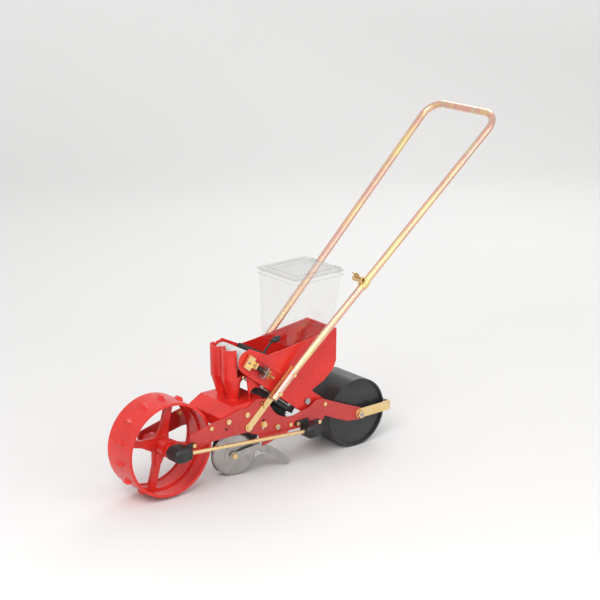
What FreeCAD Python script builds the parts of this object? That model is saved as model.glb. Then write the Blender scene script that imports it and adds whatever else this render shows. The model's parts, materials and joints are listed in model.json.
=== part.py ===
import FreeCAD, Part
import math
import os

# A walk-behind belt seeder. Built with the front wheel axle at X 0, X running rearward, Z up from the
# ground and the left side on -Y, then moved so the origin sits on the ground under the middle.

# --- front wheel ---
WHEEL_R = 120.0            # tread radius
LUG_H = 8.0                # lug height above the tread
AXLE_Z = WHEEL_R + LUG_H
WHEEL_HALF_W = 49.0
RIM_T = 4.5
LUGS = 14
LUG_PHASE = 266.6          # degrees, the lug that stands on the ground
SPOKE_PHASE = 74.2
SPOKES = 4
AXLE_R = 6.0
RUN = 0.05                 # radial clearance of a running fit

# --- rear press roller ---
ROLLER_R = 92.0
ROLLER_X = 578.0
ROLLER_HALF_W = 62.0

# --- side plates ---
PLATE_IN = 68.0            # inner face, from the centre plane
PLATE_T = 3.2
PLATE_OUT = PLATE_IN + PLATE_T

# --- drive line ---
SHAFT_Y = -88.0            # drive shaft centre line
CROSS_X, CROSS_Z = 408.0, 92.5
BEVEL_TEETH = 16
BEVEL_MODULE = 1.5
BEVEL_R = BEVEL_TEETH * BEVEL_MODULE / 2
BEVEL_FACE = 4.0
SPUR_MODULE = 2.0
CROSS_TEETH = 30
PULLEY_TEETH = 40
SPUR_DISTANCE = (CROSS_TEETH + PULLEY_TEETH) * SPUR_MODULE / 2
SPUR_DIRECTION = 86.64     # degrees, from the cross shaft up to the belt drive shaft
GEAR_Y0, GEAR_Y1 = 61.2, 67.2
SHAFT_R = 5.0

# --- seed belt unit ---
BELT_ANGLE = 38.3          # rise of the belt toward the front, degrees
BELT_REACH = 232.0         # distance between pulley centres
ARM_R = 30.0               # half height of the arm round the belt
BODY_OUT = 60.0            # outer face of the cheeks
WALL = 3.0
PULLEY_R = 22.0
BELT_T = 3.0
BELT_HALF_W = 54.0
BELT_GAP = 0.3             # between a pulley and the belt inner face

# --- clear seed hopper ---
RIM_Z = 494.0
RIM_X0, RIM_X1 = 364.0, 522.0
RIM_HALF_W = 82.0
FOOT_X0, FOOT_X1 = 354.0, 506.0
FOOT_HALF_W = BODY_OUT - WALL - 0.3
FOOT_Z0, FOOT_Z1 = 322.0, 342.0
CLEAR_T = 2.5
CORNER_R = 9.0
RIM_LIP = 3.5

# --- handle ---
PIVOT_X, PIVOT_Z = 218.0, 142.0
HANDLE_TOP = (1008.0, 837.0)
HANDLE_RISE = math.degrees(math.atan2(HANDLE_TOP[1] - PIVOT_Z, HANDLE_TOP[0] - PIVOT_X))
HANDLE_HALF_W = 131.5
TUBE_R = 9.5
STRAP_IN = PLATE_OUT + 0.4
STRAP_T = 3.2

# --- disc opener and coverers ---
DISC_R = 56.0
DISC_X, DISC_Y, DISC_Z = 205.0, 22.5, 57.0
DISC_TOE = 20.0            # degrees each disc is turned in at the front
BAR_X, BAR_Z = 265.0, 137.5
SLOT_TRAVEL = 9.0

M8_R, M8_FLAT, M8_HEAD = 4.0, 13.0, 5.0
M6_R, M6_FLAT, M6_HEAD = 3.0, 10.0, 4.0

# --- holes and bolts of the side plates ---
COUPLING_HOLES = [(150.0, 152.0)]
BASE_BOLTS = [(213.0, 176.0), (156.0, 171.0)]
TIE = (306.0, 122.0)
BOSS = (462.0, 146.0)
SPARES = [(104.0, 166.0), (349.5, 117.0)]
LOCK_R = 68.6
LOCK_ANGLE = 44.4
LOCK_SWING = 8.0

# --- gear cases ---
FRONT_CASE = (-24.0, 30.0, 109.5, 146.5)     # X and Z span of each case
REAR_CASE = (380.0, 432.0, 74.0, 111.0)
FRONT_CASE_BOLTS = [(49.0, 136.0)]
REAR_CASE_BOLTS = [(370.5, 115.0), (440.0, 104.0)]
COVER_FACE = SHAFT_Y - 17.5
CASE_SPLIT = SHAFT_Y - 7.0

# --- belt tension and screws of the belt unit ---
TENSION_TRAVEL = 4.0
TAB_S = 46.0
TAB_SCREWS = [(TAB_S + 12, -9.0), (TAB_S + 12, 9.0)]
SADDLE_SCREWS = [34.0, 66.0]
GUARD_SCREWS = [160.0, 196.0]
GUARD_HALF_W = 52.0
ROD_Y = -77.0

# --- seed brush ---
BRUSH_S0, BRUSH_S1 = 38.0, 48.0

# --- handle details ---
STRAP_END = 190.0
TUBE_START = 92.0
TUBE_Y = STRAP_IN + STRAP_T + TUBE_R + 0.05
TUBE_SCREWS = (112.0, 172.0)
BEND_R = 48.0

# --- marker clamp ---
CLAMP_S = 470.0
SOCKET_R = 5.2
SOCKET_DROP = 20.0

# --- roller scraper ---
SCRAPER_X = 680.0

# --- chute base and seed chutes ---
BASE_X0, BASE_X1, BASE_Z0, BASE_Z1 = 134.0, 272.0, 158.0, 205.0
CHUTE_X, CHUTE_Y, CHUTE_R = 203.0, 24.0, 24.4
CHUTE_TOP, CHUTE_MID = 340.0, 262.0
THROAT_X, THROAT_Y, THROAT_R = 208.0, 21.0, 9.5

# --- soil coverers ---
COVER_IN, COVER_T, COVER_REACH = 8.0, 3.0, 60.0    # offset from the disc, thickness, length beside the disc
COVER_EYE_R = 11.0

# --- lid hinge pin ---
LID_PIN_X, LID_PIN_Z = RIM_X1 + 4.5, RIM_Z + 0.5

V = FreeCAD.Vector
X_AXIS, Y_AXIS, Z_AXIS = V(1, 0, 0), V(0, 1, 0), V(0, 0, 1)


# ---------- small helpers ----------
def box(x0, x1, y0, y1, z0, z1):
    return Part.makeBox(x1 - x0, y1 - y0, z1 - z0, V(x0, y0, z0))


def cyl_y(x, z, r, y0, y1):
    return Part.makeCylinder(r, y1 - y0, V(x, y0, z), Y_AXIS)


def ring_y(x, z, r_out, r_in, y0, y1):
    return cyl_y(x, z, r_out, y0, y1).cut(cyl_y(x, z, r_in, y0 - 1, y1 + 1))


def rod(a, b, r):
    d = V(*b) - V(*a)
    return Part.makeCylinder(r, d.Length, V(*a), d)


def prism_y(points, y0, y1):
    """Solid from an outline in X and Z, between two Y positions."""
    wire = Part.makePolygon([V(x, y0, z) for x, z in points] + [V(points[0][0], y0, points[0][1])])
    return Part.Face(wire).extrude(V(0, y1 - y0, 0))


def hex_prism(flat, height):
    """Hexagonal head or nut standing on Z 0, its corners turned off at both ends."""
    r = flat / math.sqrt(3)
    corners = [V(r * math.cos(math.radians(60 * i)), r * math.sin(math.radians(60 * i)), 0) for i in range(7)]
    turned = Part.makeCylinder(r + 0.05, height)
    turned = turned.makeChamfer(r - flat / 2, [e for e in turned.Edges if isinstance(e.Curve, Part.Circle)])
    return Part.Face(Part.makePolygon(corners)).extrude(V(0, 0, height)).common(turned)


def hexagon_y(x, z, flat, y0, y1):
    hexagon = hex_prism(flat, y1 - y0)
    hexagon.rotate(V(0, 0, 0), X_AXIS, -90)
    hexagon.translate(V(x, y0, z))
    return hexagon


def mirrored(shape):
    return shape.mirror(V(0, 0, 0), Y_AXIS)


def both_sides(shape):
    return Part.makeCompound([shape, mirrored(shape)])


def fuse(parts):
    first = parts[0].multiFuse(parts[1:]) if len(parts) > 1 else parts[0]
    return first.removeSplitter()


def bolt_left(x, z, r, flat, head, face_y, end_y):
    """Bolt whose head sits on face_y (looking from the left) and whose shank runs inward to end_y."""
    return fuse([hexagon_y(x, z, flat, face_y - head, face_y), cyl_y(x, z, r, face_y - 0.5, end_y)])


# ---------- belt unit directions ----------
def belt_point(s, n, y=0.0):
    """Point at distance s behind the front pulley along the belt and n above the belt centre line."""
    a = math.radians(BELT_ANGLE)
    return V(IDLER.x + s * math.cos(a) + n * math.sin(a), y, IDLER.z - s * math.sin(a) + n * math.cos(a))


def xz(v):
    return (v.x, v.z)


_spur = math.radians(SPUR_DIRECTION)
DRIVE = V(CROSS_X + SPUR_DISTANCE * math.cos(_spur), 0, CROSS_Z + SPUR_DISTANCE * math.sin(_spur))
_belt = math.radians(BELT_ANGLE)
IDLER = V(DRIVE.x - BELT_REACH * math.cos(_belt), 0, DRIVE.z + BELT_REACH * math.sin(_belt))


def obround(r, y0, y1, reach=BELT_REACH):
    """Solid of radius r round both pulley centres."""
    corners = [xz(belt_point(s, n)) for s, n in ((0, -r), (reach, -r), (reach, r), (0, r))]
    end = belt_point(reach, 0)
    return fuse([prism_y(corners, y0, y1), cyl_y(IDLER.x, IDLER.z, r, y0, y1), cyl_y(end.x, end.z, r, y0, y1)])


# ---------- gears ----------
def involute_half_tooth(teeth, module, backlash, steps=5):
    """Radius and half angle of one tooth flank, root to tip."""
    pitch_r = teeth * module / 2
    pressure = math.radians(20)
    base_r = pitch_r * math.cos(pressure)
    half = math.pi / (2 * teeth) - backlash / (2 * pitch_r)
    inv_pitch = math.tan(pressure) - pressure
    root_r = pitch_r - 1.25 * module
    start_r = max(base_r, root_r + 0.1 * module)
    tip_r = pitch_r + 0.95 * module
    flank = []
    for i in range(steps):
        r = start_r + (tip_r - start_r) * i / (steps - 1)
        roll = math.acos(min(1.0, base_r / r))
        flank.append((r, half + inv_pitch - (math.tan(roll) - roll)))
    foot = flank[0][1] + 0.12 * module / pitch_r
    return [(root_r, foot)] + flank


def tooth_ring(teeth, flank, phase):
    """Closed list of polar points for every tooth; one tooth is centred on the phase angle."""
    points = []
    for k in range(teeth):
        centre = phase + 2 * math.pi * k / teeth
        points += [(r, centre - half) for r, half in flank]
        points += [(r, centre + half) for r, half in reversed(flank)]
    return points


def spur_gear(x, z, teeth, phase_deg, bore):
    flank = involute_half_tooth(teeth, SPUR_MODULE, 0.16)
    ring = tooth_ring(teeth, flank, math.radians(phase_deg))
    outline = [(x + r * math.cos(t), z + r * math.sin(t)) for r, t in ring]
    gear = prism_y(outline, GEAR_Y0, GEAR_Y1)
    return gear.cut(cyl_y(x, z, bore, GEAR_Y0 - 1, GEAR_Y1 + 1))


def bevel_gear(phase_deg, bore, hub_r, hub_length):
    """45 degree bevel gear on +Z with its cone point at the origin, big end upward, hub beyond it."""
    slant = math.sqrt(0.5)
    virtual = BEVEL_TEETH / slant
    flank = []
    for r_v, half_v in involute_half_tooth(virtual, BEVEL_MODULE, 0.30):
        t = r_v - virtual * BEVEL_MODULE / 2
        flank.append(((BEVEL_R + t * slant) * BEVEL_R / (BEVEL_R - t * slant), half_v / slant))
    ring = tooth_ring(BEVEL_TEETH, flank, math.radians(phase_deg))
    wires = []
    for level in (BEVEL_R - BEVEL_FACE, BEVEL_R):
        k = level / BEVEL_R
        pts = [V(k * r * math.cos(t), k * r * math.sin(t), level) for r, t in ring]
        wires.append(Part.makePolygon(pts + [pts[0]]))
    teeth = Part.makeLoft(wires, True, True)
    hub = Part.makeCylinder(hub_r, hub_length, V(0, 0, BEVEL_R))
    return teeth.fuse(hub).cut(Part.makeCylinder(bore, 4 * BEVEL_R, V(0, 0, 0)))


def aim(shape, apex, axis, reference):
    """Turn a shape built on +Z so Z follows axis and X follows reference, then move it to the apex."""
    z = V(axis)
    z.normalize()
    y = z.cross(reference)
    y.normalize()
    x = y.cross(z)
    turn = FreeCAD.Matrix(x.x, y.x, z.x, apex.x, x.y, y.y, z.y, apex.y, x.z, y.z, z.z, apex.z, 0, 0, 0, 1)
    moved = shape.copy()
    moved.Placement = FreeCAD.Placement(turn).multiply(shape.Placement)
    return moved


FRONT_APEX = V(0, SHAFT_Y, AXLE_Z)
REAR_APEX = V(CROSS_X, SHAFT_Y, CROSS_Z)
SHAFT_DIR = (REAR_APEX - FRONT_APEX).normalize()


# ---------- side plates ----------
def plate_panel(front):
    """Outline shared by both plates behind the front end; front is the list of points ahead of it."""
    bottom = [(112, 131), (213, 129), (248, 113), (252, 103), (382, 101), (389, 76), (427, 76), (447, 97),
              (463, 114), (496, 98), (537, 81), (574, 76)]
    top = [(584, 107), (530, 129), (463, 158), (437, 163), (411, 149), (381, 143), (354, 200), (286, 184),
           (276, 204), (246, 209), (214, 192), (196, 195), (147, 183), (107, 177), (71, 170)]
    return front + bottom + top


def side_plate(front):
    y0, y1 = -PLATE_OUT, -PLATE_IN
    plate = fuse([prism_y(plate_panel(front), y0, y1), cyl_y(ROLLER_X, ROLLER_R, 16, y0, y1)])
    cuts = [cyl_y(354.7, 212, 74, y0 - 1, y1 + 1),
            cyl_y(ROLLER_X, ROLLER_R, AXLE_R + RUN, y0 - 1, y1 + 1),
            cyl_y(CROSS_X, CROSS_Z, SHAFT_R + RUN, y0 - 1, y1 + 1),
            cyl_y(PIVOT_X, PIVOT_Z, M8_R + RUN, y0 - 1, y1 + 1)]
    for x, z in COUPLING_HOLES + BASE_BOLTS + [TIE, BOSS]:
        cuts.append(cyl_y(x, z, M8_R + 0.25, y0 - 1, y1 + 1))
    cuts.append(vertical_slot(BAR_X, BAR_Z, M8_R + 0.2, SLOT_TRAVEL + 1, y0 - 1, y1 + 1))
    cuts.append(arc_slot(LOCK_R, LOCK_ANGLE, LOCK_SWING + 1.0, M8_R + 0.2, y0 - 1, y1 + 1))
    return plate.cut(Part.makeCompound(cuts))


def vertical_slot(x, z, r, half, y0, y1):
    return fuse([box(x - r, x + r, y0, y1, z - half, z + half), cyl_y(x, z + half, r, y0, y1),
                 cyl_y(x, z - half, r, y0, y1)])


def arc_slot(radius, centre, half, r, y0, y1):
    """Slot of half width r along an arc about the handle pivot."""
    band = ring_y(PIVOT_X, PIVOT_Z, radius + r, radius - r, y0, y1)
    a0, a1 = math.radians(centre - half), math.radians(centre + half)
    far = 2 * radius
    wedge = prism_y([(PIVOT_X, PIVOT_Z), (PIVOT_X + far * math.cos(a0), PIVOT_Z + far * math.sin(a0)),
                     (PIVOT_X + far * math.cos(a1), PIVOT_Z + far * math.sin(a1))], y0, y1)
    ends = [cyl_y(PIVOT_X + radius * math.cos(a), PIVOT_Z + radius * math.sin(a), r, y0, y1) for a in (a0, a1)]
    return fuse([band.common(wedge)] + ends)


def side_plate_left():
    plate = side_plate([(41, 163), (41, 125), (73, 123)])
    lip = Part.Face(Part.makePolygon([V(256, -PLATE_IN, 104), V(256, -PLATE_OUT, 104), V(256, -80, 82),
                                      V(256, -77, 81), V(256, -PLATE_IN, 104)])).extrude(V(86, 0, 0))
    lip = lip.cut(prism_y([(250, 83), (345, 100), (345, 70), (250, 70)], -90, -PLATE_IN - 0.01))
    holes = [cyl_y(x, z, M6_R + 0.1, -90, -60) for x, z in FRONT_CASE_BOLTS + REAR_CASE_BOLTS + SPARES]
    return fuse([plate, lip]).cut(Part.makeCompound(holes))


def side_plate_right():
    plate = side_plate([(49, 160), (-2, 148), (-13, 128), (-8, 116), (12, 112), (73, 123)])
    plate = fuse([plate, cyl_y(0, AXLE_Z, 20, -PLATE_OUT, -PLATE_IN)])
    holes = [cyl_y(x, z, M6_R + 0.1, -90, -60) for x, z in SPARES]
    plate = plate.cut(Part.makeCompound(holes + [cyl_y(0, AXLE_Z, AXLE_R + 2.0, -90, -60)]))
    return mirrored(plate)


def axle_bush():
    """Flanged bearing of the wheel axle in the right plate."""
    body = cyl_y(0, AXLE_Z, AXLE_R + 2.0, PLATE_IN, PLATE_OUT + 5)
    flange = cyl_y(0, AXLE_Z, 16, PLATE_OUT, PLATE_OUT + 3)
    return fuse([body, flange]).cut(cyl_y(0, AXLE_Z, AXLE_R + RUN, 0, 100))


# ---------- front wheel ----------
def wheel_lug(angle):
    half_y, half_t, top_y, top_t = 21.0, 12.0, 13.0, 4.0
    low = [V(WHEEL_R - 1, y, t) for y, t in ((-half_y, 0), (0, -half_t), (half_y, 0), (0, half_t), (-half_y, 0))]
    high = [V(AXLE_Z, y, t) for y, t in ((-top_y, 0), (0, -top_t), (top_y, 0), (0, top_t), (-top_y, 0))]
    lug = Part.makeLoft([Part.makePolygon(low), Part.makePolygon(high)], True, True)
    lug.rotate(V(0, 0, 0), Y_AXIS, -angle)
    lug.translate(V(0, 0, AXLE_Z))
    return lug


def wheel_spoke(angle):
    """Flat spoke in the middle plane with a web that widens toward the hub."""
    inner, outer = 16.0, WHEEL_R - RIM_T + 1
    spoke = box(inner, outer, -7, 7, -9, 9)
    web = prism_y([(inner, -20), (inner + 42, -9), (inner + 42, 9), (inner, 20)], -4, 4)
    foot = prism_y([(outer, -18), (outer - 14, -9), (outer - 14, 9), (outer, 18)], -4, 4)
    spoke = spoke.fuse(web).fuse(foot)
    spoke.rotate(V(0, 0, 0), Y_AXIS, -angle)
    spoke.translate(V(0, 0, AXLE_Z))
    return spoke


def wheel():
    w = WHEEL_HALF_W
    rim = ring_y(0, AXLE_Z, WHEEL_R, WHEEL_R - RIM_T, -w, w)
    rib = ring_y(0, AXLE_Z, WHEEL_R - RIM_T + 0.5, WHEEL_R - RIM_T - 5, -4, 4)
    beads = [ring_y(0, AXLE_Z, WHEEL_R - RIM_T + 0.5, WHEEL_R - RIM_T - 2.5, y, y + 4) for y in (-w, w - 4)]
    hub = cyl_y(0, AXLE_Z, 21, -40, 40).fuse(cyl_y(0, AXLE_Z, 11, -61.7, PLATE_IN - 0.3))
    spokes = [wheel_spoke(SPOKE_PHASE + 360.0 * k / SPOKES) for k in range(SPOKES)]
    inside = cyl_y(0, AXLE_Z, WHEEL_R - 0.5, -w, w)
    body = fuse([rim, rib, hub] + beads + [s.common(inside) for s in spokes])
    body = body.multiFuse([wheel_lug(LUG_PHASE + 360.0 * k / LUGS) for k in range(LUGS)])
    return body.cut(cyl_y(0, AXLE_Z, AXLE_R, -80, 80)).removeSplitter()


def wheel_axle():
    """Axle from the bevel gear to its washer-faced nut outside the right plate."""
    axle = cyl_y(0, AXLE_Z, AXLE_R, SHAFT_Y + 9, PLATE_OUT + 22)
    washer = cyl_y(0, AXLE_Z, 12, PLATE_OUT + 5.3, PLATE_OUT + 7.3)
    return fuse([axle, washer, hexagon_y(0, AXLE_Z, 19, PLATE_OUT + 7.3, PLATE_OUT + 17)])


# ---------- drive line ----------
def axle_bevel():
    gear = bevel_gear(0, AXLE_R, 10, 6)
    return aim(gear, FRONT_APEX, Y_AXIS, SHAFT_DIR)


def shaft_bevel(apex, direction):
    gear = bevel_gear(180.0 / BEVEL_TEETH, SHAFT_R, 8, 6)
    return aim(gear, apex, direction, Y_AXIS)


def cross_bevel():
    gear = bevel_gear(0, SHAFT_R, 10, 2)
    return aim(gear, REAR_APEX, Y_AXIS, SHAFT_DIR * -1)


def drive_shaft():
    start = FRONT_APEX + SHAFT_DIR * (BEVEL_R - BEVEL_FACE)
    end = REAR_APEX - SHAFT_DIR * (BEVEL_R - BEVEL_FACE)
    return rod(start, end, SHAFT_R)


def cross_shaft():
    """Cross shaft with the collars that hold it endways on the two plates."""
    shaft = cyl_y(CROSS_X, CROSS_Z, SHAFT_R, SHAFT_Y + 9, PLATE_OUT + 8)
    collars = [cyl_y(CROSS_X, CROSS_Z, 9, PLATE_OUT + 0.3, PLATE_OUT + 8),
               cyl_y(CROSS_X, CROSS_Z, 9, -PLATE_IN + 0.3, -PLATE_IN + 8)]
    return fuse([shaft] + collars)


def cross_spur():
    return spur_gear(CROSS_X, CROSS_Z, CROSS_TEETH, SPUR_DIRECTION, SHAFT_R)


def belt_drive_spur():
    phase = SPUR_DIRECTION + 180 + 180.0 / PULLEY_TEETH
    return spur_gear(DRIVE.x, DRIVE.z, PULLEY_TEETH, phase, SHAFT_R)


def stadium_y(x0, x1, z0, z1, y0, y1):
    """Flat bar with fully round ends."""
    r, z = (z1 - z0) / 2, (z0 + z1) / 2
    return fuse([box(x0 + r, x1 - r, y0, y1, z0, z1), cyl_y(x0 + r, z, r, y0, y1), cyl_y(x1 - r, z, r, y0, y1)])


def gear_case(span, apex, y_in, side, ears):
    """Hollow pot open toward -Y; the shaft leaves through one end wall."""
    x0, x1, z0, z1 = span
    case = stadium_y(x0, x1, z0, z1, CASE_SPLIT, y_in)
    middle = (x0 + x1) / 2
    for ex, ez in ears:
        reach = sorted((ex, middle))
        case = case.fuse(box(reach[0], reach[1], -PLATE_OUT - 4, -PLATE_OUT - 0.05, ez - 7, ez + 7))
        case = case.fuse(cyl_y(ex, ez, 7, -PLATE_OUT - 4, -PLATE_OUT - 0.05))
    deepest = y_in - WALL if y_in > -PLATE_IN else y_in + 1
    cavity = stadium_y(x0 + WALL, x1 - WALL, z0 + WALL, z1 - WALL, CASE_SPLIT - 1, deepest)
    shaft_hole = rod(apex, apex + SHAFT_DIR * (60 * side), SHAFT_R + RUN)
    bolts = [cyl_y(ex, ez, M6_R + 0.1, -130, 0) for ex, ez in ears]
    return case, [cavity, shaft_hole] + bolts


def front_case():
    case, cuts = gear_case(FRONT_CASE, FRONT_APEX, -62, 1, FRONT_CASE_BOLTS)
    return case.cut(Part.makeCompound(cuts + [cyl_y(0, AXLE_Z, AXLE_R + RUN, -80, -50)]))


def rear_case():
    case, cuts = gear_case(REAR_CASE, REAR_APEX, -PLATE_OUT - 0.05, -1, REAR_CASE_BOLTS)
    return case.cut(Part.makeCompound(cuts + [cyl_y(CROSS_X, CROSS_Z, SHAFT_R + 1, -90, -60)]))


def case_cover(span, apex, side):
    """Domed cover with a raised boss in the middle and a rib along each side of it."""
    x0, x1, z0, z1 = span
    y1 = CASE_SPLIT - 0.05
    dome = stadium_y(x0, x1, z0, z1, COVER_FACE, y1)
    dome = dome.makeFillet(10, [e for e in dome.Edges if e.BoundBox.YMax < COVER_FACE + 0.01])
    room = stadium_y(x0 + WALL, x1 - WALL, z0 + WALL, z1 - WALL, COVER_FACE + WALL, y1 + 1)
    room = room.makeFillet(6, [e for e in room.Edges if e.BoundBox.YMax < COVER_FACE + WALL + 0.01])
    middle, level = (x0 + x1) / 2, (z0 + z1) / 2
    boss = cyl_y(middle, level, 11, COVER_FACE - 2, COVER_FACE + 1)
    boss = boss.makeFillet(1.5, [e for e in boss.Edges if e.BoundBox.YMax < COVER_FACE - 1.9])
    ribs = [box(middle - 22, middle + 22, COVER_FACE - 1.2, COVER_FACE + 1, level + z - 1.2, level + z + 1.2)
            for z in (-9, 0, 9)]
    hole = rod(apex, apex + SHAFT_DIR * (60 * side), SHAFT_R + RUN)
    return fuse([dome, boss] + ribs).cut(room).cut(hole)


def front_case_cover():
    return case_cover(FRONT_CASE, FRONT_APEX, 1)


def rear_case_cover():
    return case_cover(REAR_CASE, REAR_APEX, -1)


def case_bolts():
    bolts = [bolt_left(x, z, M6_R, M6_FLAT, M6_HEAD, -PLATE_OUT - 4, -PLATE_IN) for x, z in FRONT_CASE_BOLTS
             + REAR_CASE_BOLTS]
    return Part.makeCompound(bolts)


# ---------- belt unit ----------
def hopper_body():
    """Red moulding: two cheeks round the belt, open at the top and at the nose."""
    upper = [(224, 332), (235, 340), (291, 312), (338, 316), (512, 338), (510, 252), (499, 229), (469, 206),
             (430, 188), xz(belt_point(BELT_REACH, 0)), xz(belt_point(20, 0))]
    arm_out, arm_in = obround(ARM_R, -BODY_OUT, BODY_OUT), obround(ARM_R - WALL, -BODY_OUT + WALL, BODY_OUT - WALL)
    inner = [(229, 338), (235, 380), (509, 380), (507, 253), (497, 232), (467, 209), (430, 191),
             xz(belt_point(BELT_REACH, 0)), xz(belt_point(20, 0))]
    body = fuse([arm_out, prism_y(upper, -BODY_OUT, BODY_OUT)])
    body = body.cut(fuse([arm_in, prism_y(inner, -BODY_OUT + WALL, BODY_OUT - WALL)]))
    nose = prism_y([(180, 400), (180, 250), (231, 250), (236, 300), (240, 400)], -BODY_OUT + WALL, BODY_OUT - WALL)
    body = body.cut(nose)
    return finish_body(body)


def finish_body(body):
    ribs = []
    for n0, n1 in ((-ARM_R, -ARM_R + 9), (ARM_R - 12, ARM_R - 3)):
        corners = [xz(belt_point(s, n)) for s, n in ((22, n0), (118, n0), (118, n1), (22, n1))]
        ribs.append(prism_y(corners, -BODY_OUT - 3, -BODY_OUT + 0.5))
    lug_pts = [(425, 140), (470, 140), (470, 154), (440, 178)]
    lugs = [prism_y(lug_pts, -BODY_OUT, -BODY_OUT + WALL),
            cyl_y(BOSS[0], BOSS[1], 7, -PLATE_IN, -BODY_OUT + WALL)]
    lugs += [mirrored(s) for s in lugs]
    body = fuse([body] + ribs + lugs)
    corners = [xz(belt_point(s, n)) for s, n in ((0, -SHAFT_R - 0.2), (8, -SHAFT_R - 0.2), (8, SHAFT_R + 0.2),
                                                 (0, SHAFT_R + 0.2))]
    cuts = [cyl_y(DRIVE.x, DRIVE.z, SHAFT_R + RUN, -80, 80), prism_y(corners, -80, 80)]
    cuts += [cyl_y(p.x, p.z, SHAFT_R + 0.2, -80, 80) for p in (belt_point(0, 0), belt_point(8, 0))]
    cuts.append(cyl_y(BOSS[0], BOSS[1], M6_R, -80, 80))
    for s, n in TAB_SCREWS:
        p = belt_point(s, n)
        cuts.append(cyl_y(p.x, p.z, 2.0, -BODY_OUT - 4, -BODY_OUT + WALL))
    for s in SADDLE_SCREWS:
        cuts += [rod(belt_point(s, -40, y), belt_point(s, -20, y), M6_R) for y in (-30, 30)]
    cuts += [rod(belt_point(s, -40, 0), belt_point(s, -26, 0), M6_R) for s in GUARD_SCREWS]
    return body.cut(Part.makeCompound(cuts)).removeSplitter()


def seed_belt():
    outer = obround(PULLEY_R + BELT_T, -BELT_HALF_W, BELT_HALF_W)
    inner = obround(PULLEY_R + BELT_GAP, -60, 60)
    belt = outer.cut(inner)
    cells = []
    pitch = BELT_REACH / 9
    for k in range(9):
        for y in (-22.0, 22.0):
            s = pitch * (k + 0.5)
            cells.append(rod(belt_point(s, PULLEY_R - 1, y), belt_point(s, PULLEY_R + BELT_T + 1, y), 3.5))
            cells.append(rod(belt_point(s, -PULLEY_R + 1, y), belt_point(s, -PULLEY_R - BELT_T - 1, y), 3.5))
    return belt.cut(Part.makeCompound(cells))


def pulley(centre, bore):
    half = BELT_HALF_W - 2
    drum = ring_y(centre.x, centre.z, PULLEY_R, PULLEY_R - 4, -half, half)
    hub = cyl_y(centre.x, centre.z, 9, -half, half)
    webs = []
    for k in range(6):
        web = box(0, PULLEY_R - 3, -half, half, -1.5, 1.5)
        web.rotate(V(0, 0, 0), Y_AXIS, 60 * k)
        web.translate(centre)
        webs.append(web)
    return fuse([drum, hub] + webs).cut(cyl_y(centre.x, centre.z, bore, -80, 80))


def belt_drive_shaft():
    shaft = cyl_y(DRIVE.x, DRIVE.z, SHAFT_R, -BODY_OUT - 6, GEAR_Y1)
    return fuse([shaft, cyl_y(DRIVE.x, DRIVE.z, 8, -BODY_OUT - 6, -BODY_OUT - 0.3)])


def idler_shaft():
    return cyl_y(IDLER.x, IDLER.z, SHAFT_R, -BODY_OUT - 7, BODY_OUT + 6)


def slanted_box(s0, s1, n0, n1, y0, y1):
    return prism_y([xz(belt_point(s, n)) for s, n in ((s0, n0), (s1, n0), (s1, n1), (s0, n1))], y0, y1)


def tension_fork():
    """Bracket on the idler shaft end; the draw rod screws into its outward flange."""
    plate = slanted_box(-14, 12, -17, 17, -BODY_OUT - 6.2, -BODY_OUT - 3.2)
    flange = slanted_box(9, 12, -8, 8, ROD_Y - 8, -BODY_OUT - 3.2)
    upper = slanted_box(-14, -11, -17, 17, -BODY_OUT - 12, -BODY_OUT - 3.2)
    fork = fuse([plate, flange, upper])
    hole = rod(belt_point(0, 0, ROD_Y), belt_point(20, 0, ROD_Y), M6_R)
    return fork.cut(cyl_y(IDLER.x, IDLER.z, SHAFT_R, -100, 0)).cut(hole)


def tension_rod():
    return rod(belt_point(9, 0, ROD_Y), belt_point(84, 0, ROD_Y), M6_R)


def tension_tab():
    """Angle on the cheek that the draw rod slides through."""
    wall = slanted_box(TAB_S, TAB_S + 3, -14, 14, ROD_Y - 8, -BODY_OUT - 3.05)
    foot = slanted_box(TAB_S, TAB_S + 18, -14, 14, -BODY_OUT - 6.05, -BODY_OUT - 3.05)
    tab = fuse([wall, foot])
    holes = [rod(belt_point(TAB_S - 5, 0, ROD_Y), belt_point(TAB_S + 8, 0, ROD_Y), M6_R + RUN)]
    for s, n in TAB_SCREWS:
        p = belt_point(s, n)
        holes.append(cyl_y(p.x, p.z, 2.0, -80, -50))
    return tab.cut(Part.makeCompound(holes))


def tab_screws():
    screws = []
    for s, n in TAB_SCREWS:
        p = belt_point(s, n)
        screws.append(fuse([cyl_y(p.x, p.z, 3.6, -BODY_OUT - 8, -BODY_OUT - 6.05),
                            cyl_y(p.x, p.z, 2.0, -BODY_OUT - 7, -BODY_OUT + WALL)]))
    return Part.makeCompound(screws)


def tension_spring():
    """Compression spring on the draw rod, as a coil between fork flange and tab."""
    length, turns, coil_r, wire_r = TAB_S - 12.3 - TENSION_TRAVEL - 0.3, 7, 5.4, 1.1
    helix = Part.makeHelix((length - 2 * wire_r) / turns, length - 2 * wire_r, coil_r)
    circle = Part.Wire([Part.makeCircle(wire_r, V(coil_r, 0, 0), Y_AXIS)])
    coil = Part.Wire(helix.Edges).makePipeShell([circle], True, True)
    along = belt_point(1, 0) - belt_point(0, 0)
    return aim(coil, belt_point(12.3 + wire_r, 0, ROD_Y), along, Y_AXIS)


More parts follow.
